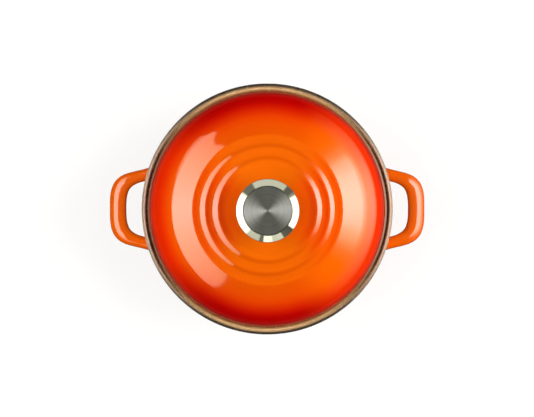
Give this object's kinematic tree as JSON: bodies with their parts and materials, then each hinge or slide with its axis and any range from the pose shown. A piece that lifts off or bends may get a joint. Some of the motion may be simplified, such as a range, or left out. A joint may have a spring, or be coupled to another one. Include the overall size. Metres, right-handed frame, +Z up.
{
  "type": "cast iron dutch oven",
  "caption": "Round enamelled cast iron dutch oven with loop handles, a domed lift-off lid with raised rings, and a screwed-on mushroom knob of polished and turned steel.",
  "frame": {"origin": "centre of the foot ring, on the surface the pot stands on", "axes": "+Z up along the pot's axis, +X along the line through the two loop handles, +Y horizontal and square to it"},
  "size_m": [0.2986, 0.236, 0.1655],
  "materials": {
    "pot_enamel": "glossy volcanic orange vitreous enamel, sand enamel inside, dark brown satin rim",
    "lid_enamel": "glossy enamel fading from orange in the middle to red at the edge",
    "knob_steel": "polished stainless steel",
    "disc_steel": "finely turned stainless steel with circular grain",
    "hardware_steel": "plain stainless steel"
  },
  "bodies": {
    "pot": {"pot_body": "pot_enamel"},
    "lid": {"lid": "lid_enamel"},
    "knob": {"knob_shell": "knob_steel", "knob_disc": "disc_steel", "knob_insert": "hardware_steel", "knob_collar": "knob_steel"},
    "washer": {"screw_washer": "hardware_steel"},
    "screw": {"knob_screw": "hardware_steel"}
  },
  "joints": [
    {"name": "lid_lift", "type": "slide", "parent": "pot", "child": "lid", "axis": [0, 0, 1], "range_m": [0, 0.15]},
    {"name": "knob_turn", "type": "hinge", "parent": "lid", "child": "knob", "pos_m": [0, 0, 0.1345], "axis": [0, 0, 1], "continuous": true},
    {"name": "screw_withdraw", "type": "slide", "parent": "knob", "child": "washer", "axis": [0, 0, -1], "range_m": [0, 0.012]},
    {"name": "screw_turn", "type": "hinge", "parent": "washer", "child": "screw", "pos_m": [0, 0, 0.129], "axis": [0, 0, -1], "range_deg": [0, 4320]}
  ],
  "couplings": [
    {"joint": "screw_turn", "follows": "screw_withdraw", "rad_per_m": 6283.2}
  ]
}
